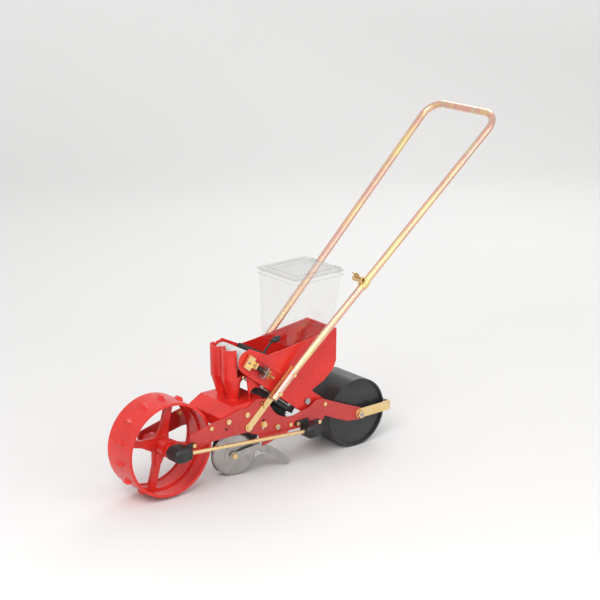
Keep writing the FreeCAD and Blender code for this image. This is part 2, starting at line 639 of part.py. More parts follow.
def wing_nut():
    """Wing nut on the draw rod behind the tab."""
    hub = Part.makeCone(6.5, 5, 8, V(0, 0, 0))
    wings = []
    for side in (-1, 1):
        blade = Part.makeCylinder(4.0, 2.6, V(side * 6.8, -1.3, 10), Y_AXIS)
        neck = Part.makeBox(6, 2.6, 9, V(side * 6 - 3, -1.3, 1))
        wings += [blade, neck]
    nut = fuse([hub] + wings)
    nut = nut.cut(Part.makeCylinder(M6_R + RUN, 40, V(0, 0, -5)))
    along = belt_point(1, 0) - belt_point(0, 0)
    return aim(nut, belt_point(TAB_S + 8.2, 0, ROD_Y), along, belt_point(0, 1) - belt_point(0, 0))


def lock_nut():
    """Plain nut between the tab and the wing nut."""
    nut = hex_prism(M6_FLAT, 5).cut(Part.makeCylinder(M6_R + RUN, 20, V(0, 0, -5)))
    along = belt_point(1, 0) - belt_point(0, 0)
    return aim(nut, belt_point(TAB_S + 3.1, 0, ROD_Y), along, Y_AXIS)


def belt_guard():
    """Bent steel strip that runs below the arm."""
    y0, y1 = -BODY_OUT - 3, -BODY_OUT + 4
    strip = slanted_box(70, 186, -ARM_R - 6, -ARM_R - 4, y0, y1)
    ends = [slanted_box(s, s + 8, -ARM_R - 6, -ARM_R - 0.1, y0, y1) for s in (70, 178)]
    return fuse([strip] + ends)


def drive_guard():
    """Black moulded guard below the drive end of the arm, with three ribs on its left face."""
    s0, s1, top, low = 142.0, 214.0, -ARM_R - 0.1, -ARM_R - 17.0
    shell = slanted_box(s0, s1, low, top, -GUARD_HALF_W, GUARD_HALF_W)
    room = slanted_box(s0 + WALL, s1 - WALL, low - 1, top - WALL, -GUARD_HALF_W + WALL, GUARD_HALF_W - WALL)
    ribs = [slanted_box(s, s + 2, low, top - 2, -GUARD_HALF_W - 1.5, -GUARD_HALF_W + 1) for s in (152, 176, 200)]
    guard = fuse([shell.cut(room)] + ribs)
    bores = [rod(belt_point(s, low, 0), belt_point(s, top + 5, 0), M6_R) for s in GUARD_SCREWS]
    return guard.cut(Part.makeCompound(bores))


def guard_screws():
    screws = []
    for s in GUARD_SCREWS:
        head, end = -ARM_R - WALL - 0.1, -ARM_R + WALL
        screws.append(fuse([rod(belt_point(s, head - 4, 0), belt_point(s, head, 0), 5.5),
                            rod(belt_point(s, head, 0), belt_point(s, end, 0), M6_R)]))
    return Part.makeCompound(screws)


# ---------- seed brush ----------
def brush_holder():
    bar = slanted_box(BRUSH_S0, BRUSH_S1, 33, 44, -BODY_OUT + WALL + 0.5, BODY_OUT - WALL - 0.5)
    bar = bar.cut(slanted_box(BRUSH_S0 + 2, BRUSH_S1 - 2, 32, 40, -BODY_OUT + WALL + 2, BODY_OUT - WALL - 2))
    return bar


def seed_brush():
    return slanted_box(BRUSH_S0 + 2, BRUSH_S1 - 2, PULLEY_R + BELT_T + 0.6, 40, -BODY_OUT + WALL + 2,
                       BODY_OUT - WALL - 2)


KNOB_A, KNOB_B = V(317, -40, 337), V(340, -40, 342)


def brush_lever():
    """Brass rod from the brush holder to the knob."""
    foot = belt_point((BRUSH_S0 + BRUSH_S1) / 2 + 2, 44, -40)
    post = rod(foot, KNOB_A, 3.0).cut(slanted_box(BRUSH_S0, BRUSH_S1, 33, 44, -BODY_OUT, BODY_OUT))
    collar = rod(KNOB_A - (KNOB_B - KNOB_A) * 0.12, KNOB_A + (KNOB_B - KNOB_A) * 0.15, 4.5)
    return fuse([post, collar])


def brush_knob():
    """Oval grip turned about its own axis, wider in the middle than at either end."""
    axis = KNOB_B - KNOB_A
    foot_r, belly_r, neck_r, tip_r = 5.0, 8.5, 5.5, 2.0
    neck, tip = 0.92 * axis.Length, 1.08 * axis.Length
    side = Part.Arc(V(foot_r, 0, 0), V(belly_r, 0, neck / 2), V(neck_r, 0, neck)).toShape()
    end = Part.Arc(V(neck_r, 0, neck), V(4.2, 0, (neck + 2 * tip) / 3), V(tip_r, 0, tip)).toShape()
    flats = [V(tip_r, 0, tip), V(0, 0, tip), V(0, 0, 0), V(foot_r, 0, 0)]
    outline = Part.Wire([side, end] + [Part.makeLine(a, b) for a, b in zip(flats, flats[1:])])
    knob = Part.Face(outline).revolve(V(0, 0, 0), Z_AXIS, 360)
    return aim(knob, KNOB_A + axis * 0.15, axis, Y_AXIS)


# ---------- hopper and lid ----------
def rounded_wire(x0, x1, half, z, r):
    """Rectangle about Y 0 with round corners, as a closed wire at height z."""
    edges = []
    centres = ((x1 - r, half - r, 0), (x0 + r, half - r, 90), (x0 + r, -half + r, 180), (x1 - r, -half + r, 270))
    ends = []
    for cx, cy, a in centres:
        points = [V(cx + r * math.cos(math.radians(a + t)), cy + r * math.sin(math.radians(a + t)), z)
                  for t in (0, 45, 90)]
        edges.append(Part.Arc(*points).toShape())
        ends.append((points[0], points[2]))
    for k in range(4):
        edges.append(Part.makeLine(ends[k][1], ends[(k + 1) % 4][0]))
    order = [edges[0], edges[4], edges[1], edges[5], edges[2], edges[6], edges[3], edges[7]]
    return Part.Wire(order)


def frustum_loft(inset, low, high):
    """Foot with straight sides and a flared upper part, drawn in by inset."""
    r = CORNER_R - inset
    foot = (FOOT_X0 + inset, FOOT_X1 - inset, FOOT_HALF_W - inset)
    lip = RIM_LIP + inset
    wires = [rounded_wire(*foot, low, r), rounded_wire(*foot, FOOT_Z1, r),
             rounded_wire(RIM_X0 + lip, RIM_X1 - lip, RIM_HALF_W - lip, high, r)]
    lower = Part.makeLoft(wires[:2], True, True)
    upper = Part.makeLoft(wires[1:], True, True)
    return lower.fuse(upper)


def rim_band(z0, z1, grow):
    band = box(RIM_X0 - grow, RIM_X1 + grow, -RIM_HALF_W - grow, RIM_HALF_W + grow, z0, z1)
    corners = [e for e in band.Edges if abs(e.tangentAt(e.FirstParameter).z) > 0.9]
    return band.makeFillet(CORNER_R, corners)


def hopper():
    shell = fuse([frustum_loft(0, FOOT_Z0, RIM_Z), rim_band(RIM_Z - 12, RIM_Z, 0)])
    return shell.cut(frustum_loft(CLEAR_T, FOOT_Z0 - 0.01, RIM_Z + 0.01))


def hopper_lid():
    top = rim_band(RIM_Z + 0.2, RIM_Z + 3.2, 1.5)
    raised = box(RIM_X0 + 22, RIM_X1 - 22, -RIM_HALF_W + 22, RIM_HALF_W - 22, RIM_Z + 3, RIM_Z + 5.5)
    tongue = [box(RIM_X1 - 4, LID_PIN_X, y, y + 14, RIM_Z + 0.2, RIM_Z + 3.2) for y in (-55, 41)]
    eyes = [cyl_y(LID_PIN_X, LID_PIN_Z, 3.2, y, y + 14) for y in (-55, 41)]
    lid = fuse([top, raised] + tongue + eyes)
    return lid.cut(cyl_y(LID_PIN_X, LID_PIN_Z, 1.6, -100, 100))


def lid_hinge():
    """Hinge ears on the hopper rim with the pin through them."""
    ears = []
    for y in (-61, -40.8, 34.8, 55.2):
        ears.append(box(RIM_X1, LID_PIN_X, y, y + 5.8, RIM_Z - 7, RIM_Z - 2.5))
        ears.append(cyl_y(LID_PIN_X, LID_PIN_Z, 3.0, y, y + 5.8))
        ears.append(box(RIM_X1 + 1.6, LID_PIN_X + 3, y, y + 5.8, RIM_Z - 7, RIM_Z))
    body = fuse(ears + [cyl_y(LID_PIN_X, LID_PIN_Z, 1.55, -61, 61)])
    body = body.cut(box(RIM_X0, RIM_X1, -90, 90, RIM_Z - 20, RIM_Z))
    return body.cut(rim_band(RIM_Z + 0.1, RIM_Z + 4, 1.6).cut(cyl_y(LID_PIN_X, LID_PIN_Z, 1.55, -61, 61)))


# ---------- chute base and seed chutes ----------


def chute_base():
    half, rear_half, step_x = PLATE_IN - 0.1, 55.0, 242.0
    outline = [(BASE_X0, BASE_Z0), (step_x, BASE_Z0), (step_x, BASE_Z1), (172, BASE_Z1), (BASE_X0, 184)]
    inner = [(BASE_X0 + 3, BASE_Z0 - 1), (step_x - 3, BASE_Z0 - 1), (step_x - 3, BASE_Z1 - 3), (173, BASE_Z1 - 3),
             (BASE_X0 + 3, 182)]
    rear = box(step_x - 3, BASE_X1, -rear_half, rear_half, BASE_Z0 + 12, BASE_Z1)
    base = prism_y(outline, -half, half).fuse(rear)
    base = base.cut(prism_y(inner, -half + 4, half - 4))
    base = base.cut(box(step_x - 4, BASE_X1 - 3, -rear_half + 3, rear_half - 3, BASE_Z0, BASE_Z1 - 3))
    low = -ARM_R - 0.1
    wall = [(BASE_X1 - 2, BASE_Z1 - 1), (238, BASE_Z1 - 1), xz(belt_point(26, low)), xz(belt_point(78, low))]
    walls = [prism_y(wall, y, y + 4).cut(cyl_y(257, 214, 18, y - 1, y + 5)) for y in (-50, 46)]
    deck = slanted_box(26, 78, low - 3, low, -50, 50)
    base = fuse([base, deck] + walls)
    cuts = [Part.makeCylinder(THROAT_R + 4.6, 20, V(THROAT_X, y, BASE_Z1 - 10)) for y in (-THROAT_Y, THROAT_Y)]
    cuts += [cyl_y(x, z, M8_R, -80, 80) for x, z in BASE_BOLTS]
    for s in SADDLE_SCREWS:
        cuts += [rod(belt_point(s, -44, y), belt_point(s, -25, y), M6_R) for y in (-30, 30)]
    return base.cut(Part.makeCompound(cuts)).removeSplitter()


def chute_funnel(r_top, r_throat, r_low, side, y_side):
    """Tapering seed passage: round mouth, throat at the base and a lower spout toward the middle."""
    mouth = Part.Wire([Part.makeCircle(r_top, V(CHUTE_X, y_side * CHUTE_Y, CHUTE_MID), Z_AXIS)])
    throat = Part.Wire([Part.makeCircle(r_throat, V(THROAT_X, y_side * THROAT_Y, BASE_Z1 - 7), Z_AXIS)])
    spout = Part.Wire([Part.makeCircle(r_low, V(226, y_side * 8.5, BASE_Z0 + 1 - side), Z_AXIS)])
    return Part.makeLoft([mouth, throat], True, True).fuse(Part.makeLoft([throat, spout], True, True))


def seed_chute(y_side):
    """One chute: half round hood in front of the belt nose above a tapering tube."""
    centre = V(CHUTE_X, y_side * CHUTE_Y, CHUTE_MID)
    tube = Part.makeCylinder(CHUTE_R, CHUTE_TOP - CHUTE_MID, centre)
    tube = tube.cut(Part.makeCylinder(CHUTE_R - WALL, CHUTE_TOP, centre - V(0, 0, 10)))
    behind = box(CHUTE_X, CHUTE_X + 60, -90, 90, CHUTE_MID + 6, CHUTE_TOP + 1)
    hood = tube.cut(behind)
    funnel = chute_funnel(CHUTE_R, THROAT_R + 2, 8, 0, y_side)
    funnel = funnel.cut(chute_funnel(CHUTE_R - WALL, THROAT_R - 0.6, 5.6, 3, y_side))
    funnel = funnel.cut(Part.makeCylinder(CHUTE_R - WALL, 6, centre - V(0, 0, 1)))
    flange = Part.makeCylinder(16, 3, V(THROAT_X, y_side * THROAT_Y, BASE_Z1 + 0.05))
    flange = flange.cut(Part.makeCylinder(THROAT_R + 1, 9, V(THROAT_X, y_side * THROAT_Y, BASE_Z1 - 3)))
    return fuse([hood, funnel, flange])


def seed_chutes():
    return fuse([seed_chute(-1), seed_chute(1)])


def base_bolts():
    bolts = [bolt_left(x, z, M8_R, M8_FLAT, M8_HEAD, -PLATE_OUT, -PLATE_IN + 4) for x, z in BASE_BOLTS]
    return both_sides(Part.makeCompound(bolts))


def spare_bolts():
    """Short plated bolts with nuts in each plate, near its top front and above the rear gear case."""
    bolts = []
    for x, z in SPARES:
        bolts.append(fuse([bolt_left(x, z, M6_R, M6_FLAT, M6_HEAD, -PLATE_OUT, -PLATE_IN + 6),
                           hexagon_y(x, z, M6_FLAT, -PLATE_IN, -PLATE_IN + 5)]))
    return both_sides(Part.makeCompound(bolts))


def saddle_screws():
    screws = []
    for s in SADDLE_SCREWS:
        for y in (-30, 30):
            low = -ARM_R - 3.1
            screws.append(fuse([rod(belt_point(s, low - 4, y), belt_point(s, low, y), 5.5),
                                rod(belt_point(s, low, y), belt_point(s, -ARM_R + WALL, y), M6_R)]))
    return Part.makeCompound(screws)


def tie_rod():
    x, z = TIE
    bar = cyl_y(x, z, 7, -PLATE_IN, PLATE_IN)
    return fuse([bar, cyl_y(x, z, M8_R, -PLATE_OUT - 8, PLATE_OUT + 8)])


def nuts_at(x, z, flat, bore, face, height):
    nut = hexagon_y(x, z, flat, -face - height, -face).cut(cyl_y(x, z, bore, -200, 0))
    return both_sides(nut)


def tie_nuts():
    return nuts_at(TIE[0], TIE[1], M8_FLAT, M8_R, PLATE_OUT, 6.5)


def body_bolts():
    """Bolts from the plates into the bosses of the hopper body."""
    return both_sides(bolt_left(BOSS[0], BOSS[1], M6_R, M6_FLAT, M6_HEAD, -PLATE_OUT, -BODY_OUT + WALL - 1))


# ---------- disc opener ----------
def opener_bar():
    half = PLATE_IN - 0.2
    bar = box(BAR_X - 9, BAR_X + 9, -half, half, BAR_Z - 7, BAR_Z + 7)
    holes = [cyl_y(BAR_X, BAR_Z, M8_R, -half - 1, -half + 16), cyl_y(BAR_X, BAR_Z, M8_R, half - 16, half + 1)]
    return bar.cut(Part.makeCompound(holes))


def opener_bolts():
    washer = ring_y(BAR_X, BAR_Z, 9, M8_R, -PLATE_OUT - 1.8, -PLATE_OUT - 0.2)
    bolt = bolt_left(BAR_X, BAR_Z, M8_R, M8_FLAT, M8_HEAD, -PLATE_OUT - 1.8, -PLATE_IN + 16)
    return both_sides(fuse([washer, bolt]))


def disc_axis(y_side):
    a = math.radians(DISC_TOE)
    return V(-math.sin(a), y_side * math.cos(a), 0)


def disc_centre(y_side):
    return V(DISC_X, y_side * DISC_Y, DISC_Z)


def along_disc(y_side, start, end, r):
    c, n = disc_centre(y_side), disc_axis(y_side)
    return rod(c + n * start, c + n * end, r)


def opener_shank():
    """Two side plates that hang from the bar and carry the disc bolts, joined by a bridge."""
    outline = [(251, 147), (279, 147), (290, 92), (286, 78), (262, 78), (226, 44), (198, 44), (194, 68),
               (232, 100), (248, 124)]
    plates = [prism_y(outline, y - 2, y + 2) for y in (-11, 11)]
    bridge = box(262, 272, -11, 11, 86, 118)
    shank = fuse(plates + [bridge])
    for y_side in (-1, 1):
        shank = shank.fuse(along_disc(y_side, -9.5, -3.2, 9).common(box(100, 300, -60, 60, 0, 200)))
    clear = [along_disc(y_side, -30, 30, M8_R) for y_side in (-1, 1)]
    inside = box(180, 261, -8.9, 8.9, 20, 160)
    seat = box(BAR_X - 9, BAR_X + 9, -60, 60, BAR_Z - 7, BAR_Z + 7)
    return shank.cut(Part.makeCompound(clear + [inside, seat])).removeSplitter()


def disc_blade(y_side):
    """Dished hub disc with a sharpened rim, free to turn on its bolt."""
    blade = along_disc(y_side, -1.2, 1.2, DISC_R)
    edge = Part.makeCone(DISC_R, DISC_R - 5, 2.4, disc_centre(y_side) - disc_axis(y_side) * 1.2, disc_axis(y_side))
    hub = along_disc(y_side, -3.0, 5.0, 15)
    cap = along_disc(y_side, 1.0, 3.0, 24)
    disc = fuse([blade.common(edge), hub, cap])
    return disc.cut(along_disc(y_side, -20, 20, M8_R + RUN))


def disc_bolts():
    bolts = []
    for y_side in (-1, 1):
        c, n = disc_centre(y_side), disc_axis(y_side)
        shank = rod(c - n * 9.5, c + n * 17, M8_R)
        spacer = rod(c + n * 5.2, c + n * 7.8, 9)
        nut = aim(hex_prism(M8_FLAT, 5.0), c + n * 11.2, n, Z_AXIS)
        bolts.append(fuse([shank, spacer, nut]))
    return Part.makeCompound(bolts)


def seed_boot():
    """Funnel and spout that carry the seed down between the discs."""
    levels = ((146.0, 226.0, 17.0, 8.6), (126.0, 230.0, 12.0, 8.6), (22.0, 236.0, 8.0, 6.0))

    def wires(inset):
        result = []
        for z, x, hx, hy in levels:
            pts = [V(x - hx + inset, -hy + inset, z), V(x + hx - inset, -hy + inset, z),
                   V(x + hx - inset, hy - inset, z), V(x - hx + inset, hy - inset, z)]
            result.append(Part.makePolygon(pts + [pts[0]]))
        return result

    def skin(inset):
        w = wires(inset)
        return Part.makeLoft(w[:2], True, True).fuse(Part.makeLoft(w[1:], True, True))

    tab = box(240, 262, -3, 3, 90, 116)
    return fuse([skin(0), tab]).cut(skin(1.8))


# ---------- soil coverers ----------
def coverer(y_side):
    """Arm that swings on the disc bolt, bends straight back behind the disc and curves down to a blade."""
    axis, centre = disc_axis(-1), disc_centre(-1)
    start = centre + axis * COVER_IN
    toe = math.radians(DISC_TOE)
    back = V(math.cos(toe), -math.sin(toe), 0)
    rise, half = 16.0, 8.0
    corners = [start + back * u + V(0, 0, w) for u, w in
               ((0, -half), (COVER_REACH, rise - half), (COVER_REACH, rise + half), (0, half), (0, -half))]
    arm = Part.Face(Part.makePolygon(corners)).extrude(axis * COVER_T)
    bend = start + back * COVER_REACH
    x, y, z = bend.x - 1, bend.y, DISC_Z + rise
    top, low = Part.BezierCurve(), Part.BezierCurve()
    top.setPoles([V(x, y, z + half), V(305, y, 75), V(361, y, 12)])
    low.setPoles([V(350, y, 3), V(306, y, 42), V(x, y, z - half)])
    tip = Part.makeLine(V(361, y, 12), V(350, y, 3))
    root = Part.makeLine(V(x, y, z - half), V(x, y, z + half))
    blade = Part.Face(Part.Wire([top.toShape(), tip, low.toShape(), root])).extrude(V(0, -COVER_T, 0))
    shape = fuse([along_disc(-1, COVER_IN, COVER_IN + COVER_T, COVER_EYE_R), arm, blade])
    shape = shape.cut(along_disc(-1, -20, 40, M8_R + RUN))
    return mirrored(shape) if y_side > 0 else shape


# ---------- rear roller ----------
def roller():
    w = ROLLER_HALF_W
    drum = ring_y(ROLLER_X, ROLLER_R, ROLLER_R, ROLLER_R - 5, -w, w)
    webs = [cyl_y(ROLLER_X, ROLLER_R, ROLLER_R - 4, y, y + 4) for y in (-w + 6, w - 10)]
    hub = cyl_y(ROLLER_X, ROLLER_R, 15, -w - 3, w + 3)
    return fuse([drum, hub] + webs).cut(cyl_y(ROLLER_X, ROLLER_R, AXLE_R + RUN, -80, 80))


def roller_axle():
    return cyl_y(ROLLER_X, ROLLER_R, AXLE_R, -PLATE_OUT - 13, PLATE_OUT + 13)


def roller_nuts():
    return nuts_at(ROLLER_X, ROLLER_R, 19, AXLE_R, PLATE_OUT + STRAP_T, 9)


def scraper_strips():
    y0, y1 = -PLATE_OUT - 2.9, -PLATE_OUT - 0.1
    strip = fuse([box(ROLLER_X, SCRAPER_X + 3, y0, y1, 80, 106), cyl_y(ROLLER_X, 93, 13, y0, y1),
                  box(SCRAPER_X, SCRAPER_X + 3, y0, -58, 80, 106)])
    strip = strip.cut(cyl_y(ROLLER_X, ROLLER_R, AXLE_R + RUN, y0 - 1, y1 + 1))
    holes = rod((SCRAPER_X - 20, -64, 93), (SCRAPER_X + 20, -64, 93), M6_R)
    return both_sides(strip.cut(holes))


def scraper_blade():
    back = box(SCRAPER_X - 3.1, SCRAPER_X - 0.1, -70, 70, 80, 107)
    lip = prism_y([(SCRAPER_X - 2, 107), (SCRAPER_X - 2, 103.5), (671.5, 99.5), (671.5, 100.5)], -60, 60)
    blade = fuse([back, lip])
    holes = [rod((SCRAPER_X - 20, y, 93), (SCRAPER_X + 20, y, 93), M6_R) for y in (-64, 64)]
    return blade.cut(Part.makeCompound(holes))


def scraper_bolts():
    bolts = []
    for y in (-64, 64):
        shank = rod((SCRAPER_X - 3.1, y, 93), (SCRAPER_X + 9, y, 93), M6_R)
        nut = aim(hex_prism(M6_FLAT, 5), V(SCRAPER_X + 3.05, y, 93), X_AXIS, Z_AXIS)
        head = aim(hex_prism(M6_FLAT, 3.0), V(SCRAPER_X - 6.15, y, 93), X_AXIS, Z_AXIS)
        bolts.append(fuse([shank, nut, head]))
    return Part.makeCompound(bolts)


# ---------- handle ----------
def handle_point(s, offset=0.0, y=0.0):
    """Point at distance s from the pivot up the handle, offset square to it in the side view."""
    a = math.radians(HANDLE_RISE)
    x = PIVOT_X + s * math.cos(a) - offset * math.sin(a)
    return V(x, y, PIVOT_Z + s * math.sin(a) + offset * math.cos(a))


HANDLE_LENGTH = (HANDLE_TOP[1] - PIVOT_Z) / math.sin(math.radians(HANDLE_RISE))


def handle_half_path():
    """Centre line of the left leg up to the middle of the grip, bends as arcs."""
    start = handle_point(TUBE_START, 0, -TUBE_Y)
    knee = handle_point(STRAP_END + 8, 0, -TUBE_Y)
    corner = handle_point(HANDLE_LENGTH, 0, -HANDLE_HALF_W)
    middle = handle_point(HANDLE_LENGTH, 0, 0)
    up, across = (corner - knee).normalize(), (middle - corner).normalize()
    setback = BEND_R * math.tan(math.acos(up.dot(across)) / 2)
    a, b = corner - up * setback, corner + across * setback
    bisect = (across - up).normalize()
    half_turn = math.acos(up.dot(across)) / 2
    centre = corner + bisect * (BEND_R / math.cos(half_turn))
    mid = centre - bisect * BEND_R
    first = (knee - start).normalize()
    soft = 20.0
    k0, k1 = knee - first * soft, knee + up * soft
    edges = [Part.LineSegment(start, k0).toShape(), Part.BezierCurve(), Part.LineSegment(k1, a).toShape(),
             Part.Arc(a, mid, b).toShape(), Part.LineSegment(b, middle).toShape()]
    edges[1].setPoles([k0, knee, k1])
    edges[1] = edges[1].toShape()
    return edges, start, first


def handle_tube():
    edges, start, first = handle_half_path()
    path = Part.Wire(edges)
    outer = path.makePipeShell([Part.Wire([Part.makeCircle(TUBE_R, start, first)])], True, False)
    inner = path.makePipeShell([Part.Wire([Part.makeCircle(TUBE_R - 1.5, start, first)])], True, False)
    half = outer.cut(inner)
    for s in TUBE_SCREWS:
        p = handle_point(s)
        half = half.cut(cyl_y(p.x, p.z, M6_R, -120, 0))
    return fuse([half, mirrored(half)])


def handle_straps():
    y0, y1 = -STRAP_IN - STRAP_T, -STRAP_IN
    w = 9.0
    corners = [handle_point(s, n) for s, n in ((0, -w), (STRAP_END, -w), (STRAP_END, w), (0, w))]
    strap = fuse([prism_y([xz(p) for p in corners], y0, y1), cyl_y(PIVOT_X, PIVOT_Z, 11, y0, y1)])
    holes = [cyl_y(PIVOT_X, PIVOT_Z, M8_R + RUN, -90, -60), cyl_y(LOCK.x, LOCK.z, M8_R, -90, -60)]
    for s in TUBE_SCREWS:
        p = handle_point(s)
        holes.append(cyl_y(p.x, p.z, M6_R, -90, -60))
    return both_sides(strap.cut(Part.makeCompound(holes)))


LOCK = V(PIVOT_X + LOCK_R * math.cos(math.radians(LOCK_ANGLE)), 0,
         PIVOT_Z + LOCK_R * math.sin(math.radians(LOCK_ANGLE)))


def pivot_bolts():
    face = STRAP_IN + STRAP_T + 0.1
    bolt = fuse([bolt_left(PIVOT_X, PIVOT_Z, M8_R, M8_FLAT, M8_HEAD, -face, -PLATE_IN + 8),
                 hexagon_y(PIVOT_X, PIVOT_Z, M8_FLAT, -PLATE_IN, -PLATE_IN + 6.5)])
    return both_sides(bolt)


def lock_bolts():
    """Clamping bolts that ride in the arc slots of the plates."""
    face = STRAP_IN + STRAP_T
    head = fuse([hexagon_y(LOCK.x, LOCK.z, M8_FLAT, -face - M8_HEAD, -face),
                 cyl_y(LOCK.x, LOCK.z, M8_R, -face - 0.5, -PLATE_IN + 9),
                 cyl_y(LOCK.x, LOCK.z, 7.5, -PLATE_IN + 0.2, -PLATE_IN + 1.6),
                 hexagon_y(LOCK.x, LOCK.z, M8_FLAT, -PLATE_IN + 1.6, -PLATE_IN + 8)])
    return both_sides(head)


def tube_screws():
    """Screws that hold the tube ends on the straps."""
    screws = []
    for s in TUBE_SCREWS:
        p = handle_point(s)
        outer = TUBE_Y + TUBE_R
        screws.append(fuse([cyl_y(p.x, p.z, M6_R, -outer - 0.5, -STRAP_IN),
                            cyl_y(p.x, p.z, 5.5, -outer - 2.6, -outer + 0.02).cut(tube_solid_leg())]))
    return both_sides(Part.makeCompound(screws))


def tube_solid_leg():
    a, b = handle_point(TUBE_START, 0, -TUBE_Y), handle_point(STRAP_END, 0, -TUBE_Y)
    return rod(a, b, TUBE_R)


def leg_y(s):
    """Distance of the left leg centre line from the middle plane."""
    k = (s - STRAP_END - 8) / (HANDLE_LENGTH - STRAP_END - 8)
    return TUBE_Y + k * (HANDLE_HALF_W - TUBE_Y)


def clamp_frame():
    p = handle_point(CLAMP_S, 0, -leg_y(CLAMP_S))
    q = handle_point(CLAMP_S + 20, 0, -leg_y(CLAMP_S + 20))
    return p, (q - p).normalize()


def marker_clamp():
    """Clip round the left handle leg with a cross socket for a row marker arm."""
    p, along = clamp_frame()
    ring = rod(p - along * 10, p + along * 10, TUBE_R + 3.5)
    socket_c = p + clamp_up() * SOCKET_DROP
    socket = rod(socket_c + V(0, -12, 0), socket_c + V(0, 22, 0), SOCKET_R + 3)
    neck = rod(p, socket_c, 6.5)
    body = fuse([ring, socket, neck])
    bore = rod(p - along * 30, p + along * 30, TUBE_R)
    hole = rod(socket_c - V(0, 60, 0), socket_c + V(0, 60, 0), SOCKET_R)
    screw = rod(socket_c, socket_c + clamp_up() * 40, M6_R)
    return body.cut(bore).cut(hole).cut(screw)


def clamp_up():
    a = math.radians(HANDLE_RISE)
    return V(-math.sin(a), 0, math.cos(a))


def marker_screw():
    """Wing screw that locks the marker arm in its socket."""
    p, _ = clamp_frame()
    tip = p + clamp_up() * (SOCKET_DROP + SOCKET_R + 0.2)
    shank = rod(tip, tip + clamp_up() * 16, M6_R)
    hub = Part.makeCone(5.5, 4.5, 7)
    wings = [hub]
    for side in (-1, 1):
        wings.append(Part.makeCylinder(6.5, 2.4, V(side * 9, -1.2, 7), Y_AXIS))
        wings.append(Part.makeBox(6, 2.4, 7, V(side * 5 - 3, -1.2, 0)))
    head = aim(fuse(wings), tip + clamp_up() * 9, clamp_up(), Y_AXIS)
    return fuse([shank, head])


# ---------- output ----------
def frame_bolts():
    """Every plain bolt and screw of the frame."""
    return Part.makeCompound([base_bolts(), spare_bolts(), saddle_screws(), body_bolts(), case_bolts(),
                              tab_screws(), scraper_bolts(), pivot_bolts(), guard_screws()])


NODES = {
    "side_plate_left": side_plate_left,
    "side_plate_right": side_plate_right,
    "axle_bush": axle_bush,
    "wheel": wheel,
    "wheel_axle": wheel_axle,
    "axle_bevel": axle_bevel,
    "shaft_bevel_front": lambda: shaft_bevel(FRONT_APEX, SHAFT_DIR),
    "shaft_bevel_rear": lambda: shaft_bevel(REAR_APEX, SHAFT_DIR * -1),
    "cross_bevel": cross_bevel,
    "drive_shaft": drive_shaft,
    "cross_shaft": cross_shaft,
    "cross_spur": cross_spur,
    "belt_drive_spur": belt_drive_spur,
    "front_gear_case": front_case,
    "front_case_cover": front_case_cover,
    "rear_gear_case": rear_case,
    "rear_case_cover": rear_case_cover,
    "hopper_body": hopper_body,
    "seed_belt": seed_belt,
    "belt_drive_pulley": lambda: pulley(DRIVE, SHAFT_R),
    "belt_drive_shaft": belt_drive_shaft,
    "belt_idler_pulley": lambda: pulley(IDLER, SHAFT_R + RUN),
    "belt_idler_shaft": idler_shaft,
    "tension_fork": tension_fork,
    "tension_rod": tension_rod,
    "tension_tab": tension_tab,
    "tension_spring": tension_spring,
    "tension_lock_nut": lock_nut,
    "tension_wing_nut": wing_nut,
    "belt_guard": belt_guard,
    "drive_guard": drive_guard,
    "brush_holder": brush_holder,
    "seed_brush": seed_brush,
    "brush_lever": brush_lever,
    "brush_knob": brush_knob,
    "hopper": hopper,
    "hopper_lid": hopper_lid,
    "lid_hinge": lid_hinge,
    "chute_base": chute_base,
    "seed_chutes": seed_chutes,
    "frame_bolts": frame_bolts,
    "frame_nuts": lambda: Part.makeCompound([tie_nuts(), roller_nuts()]),
    "tie_rod": tie_rod,
    "opener_bar": opener_bar,
    "opener_bolts": lambda: Part.makeCompound([opener_bolts(), disc_bolts()]),
    "opener_shank": opener_shank,
    "disc_left": lambda: disc_blade(-1),
    "disc_right": lambda: disc_blade(1),
    "seed_boot": seed_boot,
    "coverer_left": lambda: coverer(-1),
    "coverer_right": lambda: coverer(1),
    "roller": roller,
    "roller_axle": roller_axle,
    "scraper_strips": scraper_strips,
    "scraper_blade": scraper_blade,
    "handle_tube": handle_tube,
    "handle_straps": handle_straps,
    "handle_bolts": lambda: Part.makeCompound([lock_bolts(), tube_screws()]),
    "marker_clamp": marker_clamp,
    "marker_screw": marker_screw,
}

# The finished assembly spans these two X positions; the origin goes midway.
MACHINE_X0, MACHINE_X1 = -126.66, 1017.45


def main():
    os.makedirs("parts", exist_ok=True)
    shift = V(-(MACHINE_X0 + MACHINE_X1) / 2, 0, 0)
    for name, build in NODES.items():
        shape = build()
        shape.translate(shift)
        shape.exportStep("parts/" + name + ".step")


if __name__ == "__main__":
    main()
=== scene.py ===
import json
import math
import random

import bmesh
import bpy
from mathutils import Matrix, Vector


